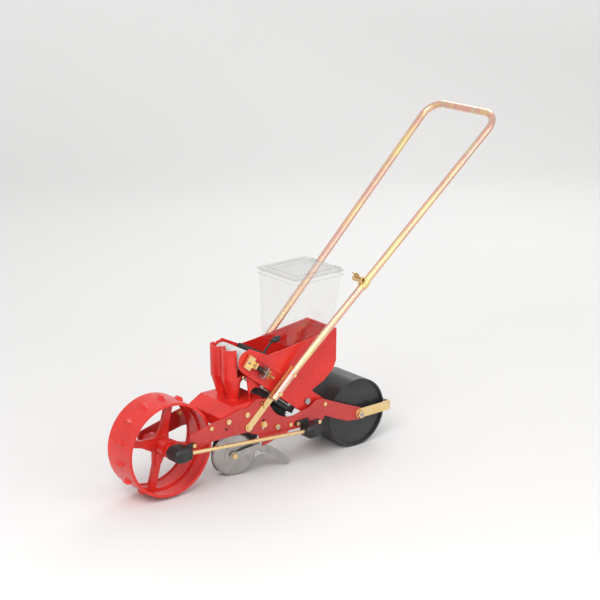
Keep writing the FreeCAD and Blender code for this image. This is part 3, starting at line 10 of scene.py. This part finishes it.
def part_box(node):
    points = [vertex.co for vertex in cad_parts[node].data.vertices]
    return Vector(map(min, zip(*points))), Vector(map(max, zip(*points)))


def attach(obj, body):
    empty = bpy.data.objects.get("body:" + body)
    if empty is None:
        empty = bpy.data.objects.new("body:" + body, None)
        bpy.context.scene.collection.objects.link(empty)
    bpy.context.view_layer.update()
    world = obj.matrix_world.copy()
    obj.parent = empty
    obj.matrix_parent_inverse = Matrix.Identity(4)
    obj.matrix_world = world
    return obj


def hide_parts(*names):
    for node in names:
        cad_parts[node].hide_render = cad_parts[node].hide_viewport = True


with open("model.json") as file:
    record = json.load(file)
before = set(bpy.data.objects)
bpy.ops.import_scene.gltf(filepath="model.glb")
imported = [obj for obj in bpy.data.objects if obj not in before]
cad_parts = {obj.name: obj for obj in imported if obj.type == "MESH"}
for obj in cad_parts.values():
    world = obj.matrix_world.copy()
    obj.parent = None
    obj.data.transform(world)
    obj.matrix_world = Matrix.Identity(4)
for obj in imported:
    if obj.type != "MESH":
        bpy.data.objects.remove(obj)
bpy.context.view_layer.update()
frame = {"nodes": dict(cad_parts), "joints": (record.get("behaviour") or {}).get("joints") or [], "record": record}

MM = 0.001

# --- pieces ---
TUBE_R = 9.5 * MM               # handle tube
THREAD_PITCH = 1.0 * MM         # draw rod
THREAD_DEPTH = 0.55 * MM
THREAD_SIDES = 24
RINGS_PER_TURN = 6
ROD_CHAMFER = 1.2 * MM
TUFT_ROWS = 3
TUFT_PITCH = 2.0 * MM
TUFT_R = 0.95 * MM
TUFT_SIDES = 7
TUFT_LEAN = 0.35 * MM
SCREW_SHANK_R = 3.0 * MM        # marker screw
SCREW_LENGTH = 9.0 * MM
NUT_SEAT = 2.6 * MM             # from the middle of the lock nut to the foot of the wing nut
TURN_SIDES = 32

# --- stage ---
CAMERA_PLACE = (-2.657545, -3.3836, 1.71017)
CAMERA_FORWARD = (0.59073956, 0.75335903, -0.28892375)
CAMERA_RIGHT = (0.784853, -0.61958741, -0.01082659)
CAMERA_LENS = 105.6             # mm, on a sensor 36 mm wide
SENSOR_WIDTH = 36.0
CAMERA_REACH = 100.0
SKY_COLOR = (0.99, 0.985, 0.98, 1)
SKY_STRENGTH = 0.83
FLOOR_TURN = -38.0              # degrees, so the backdrop faces the camera
CLEAR_BOUNCES = 32              # rays pass many clear walls of the hopper


# ---------- node material helpers ----------
class Graph:
    """A material under construction, with short calls for its nodes."""

    def __init__(self, name):
        self.material = bpy.data.materials.new(name)
        self.material.use_nodes = True
        self.tree = self.material.node_tree
        self.shader = self.tree.nodes["Principled BSDF"]
        self.coords = self.add("ShaderNodeTexCoord").outputs["Object"]

    def add(self, kind, **settings):
        node = self.tree.nodes.new(kind)
        for key, value in settings.items():
            setattr(node, key, value)
        return node

    def set(self, node, values):
        for key, value in values.items():
            if isinstance(value, bpy.types.NodeSocket):
                self.tree.links.new(value, node.inputs[key])
            else:
                node.inputs[key].default_value = value
        return node

    def stretch(self, scale):
        """Object coordinates scaled by a different factor along each axis."""
        mapping = self.add("ShaderNodeMapping")
        return self.set(mapping, {"Vector": self.coords, "Scale": scale}).outputs["Vector"]

    def noise(self, scale, detail=3.0, vector=None, roughness=0.55):
        inputs = {"Vector": vector or self.coords, "Scale": scale, "Detail": detail, "Roughness": roughness}
        return self.set(self.add("ShaderNodeTexNoise"), inputs).outputs["Fac"]

    def ramp(self, fac, stops):
        """Colour ramp through (place, colour) stops."""
        node = self.add("ShaderNodeValToRGB")
        self.tree.links.new(fac, node.inputs["Fac"])
        elements = node.color_ramp.elements
        while len(elements) < len(stops):
            elements.new(0.5)
        for element, (place, color) in zip(elements, stops):
            element.position = place
            element.color = color if len(color) == 4 else (*color, 1)
        return node.outputs["Color"]

    def grey(self, fac, low, high, start=0.3, end=0.7):
        """Remaps a value from start..end to low..high."""
        return self.ramp(fac, [(start, (low,) * 3), (end, (high,) * 3)])

    def mix(self, fac, a, b, blend="MIX"):
        node = self.add("ShaderNodeMix", data_type="RGBA", blend_type=blend)
        for socket, value in ((node.inputs[0], fac), (node.inputs[6], a), (node.inputs[7], b)):
            if isinstance(value, bpy.types.NodeSocket):
                self.tree.links.new(value, socket)
            else:
                socket.default_value = value if isinstance(value, float) else (*value[:3], 1)
        return node.outputs[2]

    def math(self, operation, a, b):
        node = self.add("ShaderNodeMath", operation=operation)
        for socket, value in zip(node.inputs, (a, b)):
            if isinstance(value, bpy.types.NodeSocket):
                self.tree.links.new(value, socket)
            else:
                socket.default_value = value
        return node.outputs[0]

    def bump(self, height, strength, distance, normal=None):
        node = self.add("ShaderNodeBump")
        self.set(node, {"Height": height, "Strength": strength, "Distance": distance})
        if normal is not None:
            self.tree.links.new(normal, node.inputs["Normal"])
        return node.outputs["Normal"]

    def rounded(self, radius):
        """Normal that turns softly over a sharp edge."""
        node = self.add("ShaderNodeBevel", samples=4)
        node.inputs["Radius"].default_value = radius
        return node.outputs["Normal"]

    def edges(self, radius):
        """1 near a sharp edge and 0 on a flat face."""
        soft = self.rounded(radius)
        true = self.add("ShaderNodeNewGeometry").outputs["True Normal"]
        dot = self.add("ShaderNodeVectorMath", operation="DOT_PRODUCT")
        self.tree.links.new(soft, dot.inputs[0])
        self.tree.links.new(true, dot.inputs[1])
        return self.grey(dot.outputs["Value"], 1.0, 0.0, 0.80, 0.98)

    def finish(self, **values):
        """Sets the shader inputs, named with _ for a space, and gives the material."""
        self.set(self.shader, {key.replace("_", " "): value for key, value in values.items()})
        return self.material


def moulded_plastic(name, color, dark, light, rough, grain_scale, grain):
    g = Graph(name)
    flow = g.noise(14.0, 4.0)
    body = g.mix(g.grey(flow, 0.0, 1.0), dark, color)
    worn = g.math("MULTIPLY", g.edges(0.0012), g.grey(g.noise(160.0, 4.0), 0.0, 0.7, 0.45, 0.65))
    scuffs = g.noise(420.0, 2.0, g.stretch((1.0, 0.2, 1.0)))
    roughness = g.grey(g.noise(30.0, 5.0), rough - 0.05, rough + 0.10)
    base = g.mix(worn, body, light)
    normal = g.bump(g.noise(grain_scale, 3.0), grain, 0.0004, g.rounded(0.0009))
    normal = g.bump(scuffs, grain * 0.3, 0.0002, normal)
    return g.finish(Base_Color=base, Roughness=roughness, Normal=normal, IOR=1.5)


def red_plastic():
    return moulded_plastic("red_moulding", (0.71, 0.024, 0.016), (0.56, 0.016, 0.012), (0.82, 0.14, 0.09),
                           0.27, 900.0, 0.10)


def black_plastic():
    return moulded_plastic("black_moulding", (0.020, 0.020, 0.022), (0.010, 0.010, 0.011), (0.10, 0.10, 0.10),
                           0.36, 1400.0, 0.22)


def roller_plastic():
    g = Graph("roller_moulding")
    around = g.noise(26.0, 5.0, g.stretch((1.0, 0.12, 1.0)))
    dust = g.grey(g.noise(9.0, 6.0), 0.0, 0.55, 0.48, 0.8)
    base = g.mix(dust, g.mix(g.grey(around, 0.0, 1.0), (0.012, 0.012, 0.014), (0.028, 0.028, 0.031)),
                 (0.050, 0.048, 0.046))
    roughness = g.grey(around, 0.24, 0.42)
    normal = g.bump(g.noise(1100.0, 2.0), 0.10, 0.0003, g.rounded(0.0014))
    return g.finish(Base_Color=base, Roughness=roughness, Normal=normal)


def red_paint():
    g = Graph("red_paint_on_steel")
    flow = g.noise(20.0, 3.0)
    body = g.mix(g.grey(flow, 0.0, 1.0), (0.43, 0.022, 0.020), (0.51, 0.032, 0.028))
    chips = g.math("MULTIPLY", g.edges(0.0009), g.grey(g.noise(260.0, 5.0), 0.0, 1.0, 0.60, 0.68))
    base = g.mix(chips, body, (0.20, 0.19, 0.18))
    roughness = g.grey(g.noise(60.0, 4.0), 0.27, 0.38)
    normal = g.bump(g.noise(700.0, 1.0), 0.12, 0.0003, g.rounded(0.0007))
    return g.finish(Base_Color=base, Roughness=roughness, Normal=normal, Metallic=chips, Coat_Weight=0.18,
                    Coat_Roughness=0.12)


def plated(name, stops, rough, stretch, speckle=0.0):
    """Zinc plate: a metal whose tint drifts through the stops and with the viewing angle."""
    g = Graph(name)
    drift = g.noise(1.0, 3.0, g.stretch(stretch))
    facing = g.add("ShaderNodeLayerWeight").outputs["Facing"]
    tint = g.math("ADD", g.math("MULTIPLY", drift, 0.85), g.math("MULTIPLY", facing, 0.16))
    color = g.ramp(tint, stops)
    spots = g.grey(g.noise(380.0, 4.0), 0.0, speckle, 0.50, 0.75)
    base = g.mix(spots, color, (0.30, 0.20, 0.16))
    roughness = g.grey(g.noise(220.0, 4.0), rough - 0.06, rough + 0.10)
    normal = g.bump(g.noise(1200.0, 2.0), 0.06, 0.0002, g.rounded(0.0006))
    return g.finish(Base_Color=base, Roughness=roughness, Normal=normal, Metallic=0.92)


def rainbow_zinc():
    stops = [(0.30, (0.84, 0.65, 0.32)), (0.42, (0.82, 0.53, 0.34)), (0.52, (0.79, 0.43, 0.38)),
             (0.60, (0.75, 0.56, 0.39)), (0.72, (0.62, 0.66, 0.42))]
    return plated("rainbow_zinc", stops, 0.28, (9.0, 30.0, 9.0), 0.18)


def gold_zinc():
    stops = [(0.32, (0.82, 0.57, 0.24)), (0.50, (0.85, 0.65, 0.34)), (0.68, (0.78, 0.50, 0.32))]
    return plated("gold_zinc", stops, 0.26, (16.0, 16.0, 16.0), 0.05)


def white_zinc():
    stops = [(0.30, (0.62, 0.64, 0.68)), (0.52, (0.75, 0.76, 0.77)), (0.70, (0.68, 0.67, 0.63))]
    return plated("white_zinc", stops, 0.24, (70.0, 70.0, 70.0), 0.08)


def brass():
    stops = [(0.30, (0.40, 0.23, 0.07)), (0.52, (0.60, 0.39, 0.14)), (0.70, (0.30, 0.17, 0.06))]
    return plated("drawn_brass", stops, 0.25, (120.0, 120.0, 120.0), 0.20)


def ground_steel():
    g = Graph("ground_steel")
    lines = g.noise(1.0, 5.0, g.stretch((260.0, 700.0, 2600.0)))
    patches = g.noise(45.0, 4.0)
    base = g.mix(g.grey(patches, 0.0, 1.0), (0.31, 0.297, 0.28), (0.46, 0.45, 0.433))
    base = g.mix(g.grey(lines, 0.0, 0.35), base, (0.60, 0.60, 0.59))
    roughness = g.grey(lines, 0.24, 0.44)
    normal = g.bump(lines, 0.10, 0.0002, g.rounded(0.0006))
    return g.finish(Base_Color=base, Roughness=roughness, Normal=normal, Metallic=0.95, Anisotropic=0.4)


def black_steel():
    g = Graph("blackened_steel")
    worn = g.math("MULTIPLY", g.edges(0.0008), g.grey(g.noise(200.0, 4.0), 0.0, 0.9, 0.45, 0.60))
    body = g.mix(g.grey(g.noise(40.0, 4.0), 0.0, 1.0), (0.022, 0.022, 0.025), (0.045, 0.044, 0.045))
    base = g.mix(worn, body, (0.38, 0.37, 0.36))
    roughness = g.grey(g.noise(90.0, 4.0), 0.30, 0.48)
    normal = g.bump(g.noise(800.0, 3.0), 0.12, 0.0002, g.rounded(0.0006))
    return g.finish(Base_Color=base, Roughness=roughness, Normal=normal, Metallic=0.7)


def belt_rubber():
    g = Graph("pale_belt")
    body = g.mix(g.grey(g.noise(60.0, 5.0), 0.0, 1.0), (0.46, 0.49, 0.48), (0.58, 0.60, 0.59))
    weave = g.noise(1.0, 1.0, g.stretch((900.0, 500.0, 900.0)))
    roughness = g.grey(weave, 0.48, 0.66)
    normal = g.bump(weave, 0.25, 0.0002, g.rounded(0.0005))
    return g.finish(Base_Color=body, Roughness=roughness, Normal=normal)


def bristle():
    g = Graph("bristle")
    base = g.mix(g.grey(g.noise(300.0, 3.0), 0.0, 1.0), (0.010, 0.010, 0.010), (0.045, 0.042, 0.040))
    return g.finish(Base_Color=base, Roughness=g.grey(g.noise(600.0, 2.0), 0.35, 0.55),
                    Normal=g.bump(g.noise(900.0, 2.0), 0.2, 0.0002))


def clear_plastic():
    """Thin clear wall: see-through face on, brighter and denser where it turns away or folds."""
    g = Graph("clear_moulding")
    tree = g.tree
    facing = g.set(g.add("ShaderNodeLayerWeight"), {"Blend": 0.5}).outputs["Facing"]
    weight = g.grey(facing, 0.030, 0.60, 0.60, 1.0)
    corner = g.math("MULTIPLY", g.edges(0.0022), 0.8)
    haze = g.grey(g.noise(24.0, 5.0), 0.0, 0.03, 0.40, 0.75)
    normal = g.bump(g.noise(35.0, 2.0), 0.06, 0.002)
    tint = g.mix(g.grey(facing, 0.0, 1.0, 0.55, 1.0), (0.985, 0.985, 0.982), (0.80, 0.80, 0.79))
    tint = g.mix(corner, tint, (0.60, 0.60, 0.59))
    through = g.set(g.add("ShaderNodeBsdfTransparent"), {"Color": tint}).outputs[0]
    shine = {"Color": (1, 1, 1, 1), "Roughness": 0.06, "Normal": normal}
    gloss = g.set(g.add("ShaderNodeBsdfGlossy"), shine).outputs[0]
    milk = g.set(g.add("ShaderNodeBsdfDiffuse"), {"Color": (0.85, 0.87, 0.87, 1)}).outputs[0]
    clear = g.set(g.add("ShaderNodeMixShader"), {0: weight, 1: through, 2: gloss}).outputs[0]
    body = g.set(g.add("ShaderNodeMixShader"), {0: haze, 1: clear, 2: milk}).outputs[0]
    tree.links.new(body, tree.nodes["Material Output"].inputs["Surface"])
    return g.material


LOOKS = {
    "red_paint": red_paint(), "red_plastic": red_plastic(), "clear_plastic": clear_plastic(),
    "black_plastic": black_plastic(), "black_steel": black_steel(), "steel": ground_steel(),
    "yellow_zinc": gold_zinc(), "zinc": white_zinc(), "brass": brass(), "belt_rubber": belt_rubber(),
    "brush_nylon": bristle(),
}
OWN_LOOKS = {"handle_tube": rainbow_zinc(), "roller": roller_plastic()}


def dress_cad_nodes():
    slots = {part["node"]: part["material_slot"] for part in frame["record"]["subparts"]}
    for name, node in frame["nodes"].items():
        node.data.materials.clear()
        node.data.materials.append(OWN_LOOKS.get(name) or LOOKS[slots[name]])


dress_cad_nodes()


# ---------- pieces built here ----------
def joint(name):
    return next(j for j in frame["joints"] if j["name"] == name)


BELT_DOWN = Vector(joint("belt_tension")["axis"])      # along the belt, toward its drive end
BELT_OUT = Vector(joint("brush_height")["axis"])       # square to the belt, upward
ACROSS = Vector((0, 1, 0))


def middle_of(node):
    low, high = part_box(node)
    return (low + high) / 2


def slanted_size(node):
    """Length along the belt and height square to it of a node that is a plain slanted bar."""
    low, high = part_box(node)
    wide, tall = high.x - low.x, high.z - low.z
    c, s = abs(BELT_DOWN.x), abs(BELT_DOWN.z)
    return (wide * c - tall * s) / (c * c - s * s), (tall * c - wide * s) / (c * c - s * s)


def basis(origin, x, y, z):
    return Matrix.Translation(origin) @ Matrix((x, y, z)).transposed().to_4x4()


def add_piece(name, work, place, body, slot, material, *nodes):
    """Turns a bmesh in local coordinates into a piece that rides on a body and stands for CAD nodes."""
    bmesh.ops.recalc_face_normals(work, faces=work.faces[:])
    mesh = bpy.data.meshes.new(name)
    work.to_mesh(mesh)
    work.free()
    mesh.transform(place)
    mesh.materials.append(material)
    piece = bpy.data.objects.new(name, mesh)
    bpy.context.scene.collection.objects.link(piece)
    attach(piece, body)
    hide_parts(*nodes)
    return piece


def skin_rings(work, rings, smooth=True):
    """Joins rings of vertices into a tube and closes both ends."""
    for low, high in zip(rings, rings[1:]):
        count = len(low)
        for k in range(count):
            work.faces.new((low[k], low[(k + 1) % count], high[(k + 1) % count], high[k])).smooth = smooth
    work.faces.new(rings[0][::-1])
    work.faces.new(rings[-1])


def lathe(work, profile):
    """Closed turned solid about local Z from (radius, height) pairs."""
    rings = []
    for r, h in profile:
        turn = [2 * math.pi * k / TURN_SIDES for k in range(TURN_SIDES)]
        rings.append([work.verts.new((r * math.cos(a), r * math.sin(a), h)) for a in turn])
    skin_rings(work, rings)


def threaded_rod():
    """Draw rod with a real one millimetre thread, tapered at both ends."""
    low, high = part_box("tension_rod")
    crest = (high.y - low.y) / 2
    length = (high.x - low.x - 2 * crest * abs(BELT_DOWN.z)) / abs(BELT_DOWN.x)
    work = bmesh.new()
    rings = []
    for i in range(int(length / THREAD_PITCH * RINGS_PER_TURN) + 1):
        h = min(i * THREAD_PITCH / RINGS_PER_TURN, length)
        ends = min(h, length - h)
        ring = []
        taper = max(0.0, 1.0 - ends / ROD_CHAMFER)
        for k in range(THREAD_SIDES):
            phase = (h / THREAD_PITCH - k / THREAD_SIDES) % 1.0
            ridge = 1.0 - abs(2.0 * phase - 1.0)
            r = crest - THREAD_DEPTH * (1.0 - ridge)
            r = min(r, crest - THREAD_DEPTH * 1.4 * taper)
            a = 2 * math.pi * k / THREAD_SIDES
            ring.append(work.verts.new((r * math.cos(a), r * math.sin(a), h)))
        rings.append(ring)
    skin_rings(work, rings)
    start = middle_of("tension_rod") - BELT_DOWN * (length / 2)
    place = basis(start, BELT_OUT, BELT_DOWN.cross(BELT_OUT), BELT_DOWN)
    add_piece("draw_rod_thread", work, place, "tension_set", "brass", LOOKS["brass"], "tension_rod")


def bristles():
    """Tufts of the seed brush, in staggered rows, each leaning a little its own way."""
    along, tall = slanted_size("seed_brush")
    low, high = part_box("seed_brush")
    wide = high.y - low.y
    rng = random.Random(11)
    work = bmesh.new()
    for row in range(TUFT_ROWS):
        x = along * ((row + 0.5) / TUFT_ROWS - 0.5)
        count = int(wide / TUFT_PITCH) - 1
        for k in range(count):
            y = (k + 0.5 + 0.5 * (row % 2)) * TUFT_PITCH - wide / 2 + 0.2 * MM
            lean = (rng.uniform(-TUFT_LEAN, TUFT_LEAN), rng.uniform(-TUFT_LEAN, TUFT_LEAN))
            rings = []
            for share, grow in ((0.0, 0.55), (0.25, 0.85), (1.0, 1.0)):
                h = tall * (share - 0.5)
                shift = (lean[0] * (1 - share), lean[1] * (1 - share))
                rings.append([work.verts.new((x + shift[0] + grow * TUFT_R * math.cos(a),
                                              y + shift[1] + grow * TUFT_R * math.sin(a), h))
                              for a in (2 * math.pi * j / TUFT_SIDES for j in range(TUFT_SIDES))])
            skin_rings(work, rings)
    place = basis(middle_of("seed_brush"), BELT_DOWN, ACROSS, BELT_OUT)
    add_piece("brush_tufts", work, place, "brush_set", "brush_nylon", LOOKS["brush_nylon"], "seed_brush")


def ear_outline():
    """Side view of one cast wing, from the hub out to its round tip."""
    return [(2.5, 1.2), (6.0, 2.2), (9.6, 5.6), (11.2, 9.6), (11.0, 13.0), (9.0, 14.2), (7.0, 12.6),
            (5.8, 9.0), (2.5, 7.4)]


def wing_casting(name, place, body, material, node, shank):
    """Cast wing head: a tapering hub with two smooth ears, on a plain shank when it is a screw."""
    work = bmesh.new()
    hub = [(4.6, 0.0), (6.2, 0.5), (6.4, 1.4), (5.4, 5.6), (4.8, 7.4), (4.0, 8.0)]
    lathe(work, [(r * MM, h * MM) for r, h in hub])
    if shank:
        lathe(work, [(r * MM, h * MM) for r, h in ((2.4, -9.0), (3.0, -8.2), (3.0, 0.2))])
    thick = ((-1.5, 0.90), (0.0, 1.0), (1.5, 0.90))
    for side in (-1, 1):
        middle = Vector((side * 7.2, 8.0))
        rings = []
        for level, grow in thick:
            ring = []
            for x, h in ear_outline():
                spot = middle + (Vector((side * x, h)) - middle) * grow
                ring.append(work.verts.new((spot.x * MM, level * MM, spot.y * MM)))
            rings.append(ring)
        skin_rings(work, rings)
    piece = add_piece(name, work, place, body, "brass", material, node)
    smooth = piece.modifiers.new("smooth", "SUBSURF")
    smooth.levels = smooth.render_levels = 2


def wing_nut():
    origin = middle_of("tension_lock_nut") + BELT_DOWN * NUT_SEAT
    place = basis(origin, BELT_OUT, BELT_DOWN.cross(BELT_OUT), BELT_DOWN)
    wing_casting("wing_nut_cast", place, "nut_set", LOOKS["brass"], "tension_wing_nut", False)


def wing_screw():
    """Screw of the marker clamp; its tip is found from the node's box and the handle's rise."""
    low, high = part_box("marker_screw")
    rise = handle_rise()
    up = Vector((-math.sin(rise), 0, math.cos(rise)))
    tip_x, tip_z = high.x - SCREW_SHANK_R * math.cos(rise), low.z + SCREW_SHANK_R * math.sin(rise)
    tip = Vector((tip_x, (low.y + high.y) / 2, tip_z))
    place = basis(tip + up * SCREW_LENGTH, ACROSS, up.cross(ACROSS), up)
    wing_casting("wing_screw_cast", place, "handle_set", LOOKS["brass"], "marker_screw", True)


def handle_rise():
    """Angle of the handle above level, from its pivot and the middle of its grip."""
    pivot = Vector(joint("handle_tilt")["pos_m"])
    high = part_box("handle_tube")[1]
    return math.atan2(high.z - TUBE_R - pivot.z, high.x - TUBE_R - pivot.x)


threaded_rod()
bristles()
wing_nut()
wing_screw()


# ---------- stage ----------
def add_area(name, place, target, size, power):
    light = bpy.data.lights.new(name, "AREA")
    light.shape = "RECTANGLE"
    light.size, light.size_y = size
    light.energy = power
    lamp = bpy.data.objects.new(name, light)
    lamp.location = place
    lamp.rotation_euler = (Vector(target) - Vector(place)).to_track_quat("-Z", "Y").to_euler()
    bpy.context.scene.collection.objects.link(lamp)


def add_floor():
    """Pale floor that curves up into a backdrop behind the machine, with painted light that makes the backdrop
    lighter as it rises.
    """
    mesh = bpy.data.meshes.new("floor")
    work = bmesh.new()
    width, front, back, bend, wall = 14.0, -6.0, 3.2, 1.6, 6.0
    profile = [(front, 0.0), (0.0, 0.0)]
    profile += [(back + bend * math.sin(math.radians(a)), bend - bend * math.cos(math.radians(a)))
                for a in range(0, 91, 6)]
    profile.append((back + bend, wall))
    rows = [[work.verts.new((x, y, z)) for x in (-width, width)] for y, z in profile]
    for low, high in zip(rows, rows[1:]):
        work.faces.new((low[0], low[1], high[1], high[0])).smooth = True
    work.to_mesh(mesh)
    work.free()
    floor = bpy.data.objects.new("floor", mesh)
    floor.rotation_euler.z = math.radians(FLOOR_TURN)
    g = Graph("pale_floor")
    height = g.add("ShaderNodeSeparateXYZ")
    g.tree.links.new(g.coords, height.inputs[0])
    paper = g.mix(g.grey(g.noise(1.5, 3.0), 0.0, 1.0), (0.73, 0.727, 0.724), (0.745, 0.741, 0.737))
    # painted light: the sweep turns from the floor tone to a lighter 0.87 grey by 0.9 m up the backdrop, standing
    # in for the brighter lit wall
    base = g.mix(g.grey(height.outputs["Z"], 0.0, 1.0, 0.0, 0.9), paper, (0.87, 0.868, 0.865))
    normal = g.bump(g.noise(300.0, 2.0), 0.02, 0.0005)
    mesh.materials.append(g.finish(Base_Color=base, Roughness=0.75, Normal=normal))
    bpy.context.scene.collection.objects.link(floor)


def add_world():
    world = bpy.data.worlds.new("studio")
    world.use_nodes = True
    sky = world.node_tree.nodes["Background"]
    sky.inputs["Color"].default_value = SKY_COLOR
    sky.inputs["Strength"].default_value = SKY_STRENGTH
    bpy.context.scene.world = world


def add_camera():
    """Eye level view from the front left, a little above the machine."""
    forward = Vector(CAMERA_FORWARD).normalized()
    right = Vector(CAMERA_RIGHT)
    right = (right - forward * right.dot(forward)).normalized()
    up = right.cross(forward)
    data = bpy.data.cameras.new("camera")
    data.sensor_width = SENSOR_WIDTH
    data.lens = CAMERA_LENS
    data.clip_end = CAMERA_REACH
    camera = bpy.data.objects.new("camera", data)
    camera.matrix_world = basis(Vector(CAMERA_PLACE), right, up, -forward)
    bpy.context.scene.collection.objects.link(camera)
    bpy.context.scene.camera = camera


add_floor()
add_world()
add_camera()
add_area("key", (-2.4, -1.6, 2.8), (0, 0, 0.25), (1.8, 1.8), 72)
add_area("fill", (0.6, -3.2, 1.8), (0, 0, 0.3), (2.4, 1.6), 26)
add_area("rim", (2.4, 1.8, 2.4), (0, 0, 0.3), (1.6, 1.6), 26)
bpy.context.scene.view_settings.view_transform = "Standard"
bpy.context.scene.cycles.transparent_max_bounces = CLEAR_BOUNCES
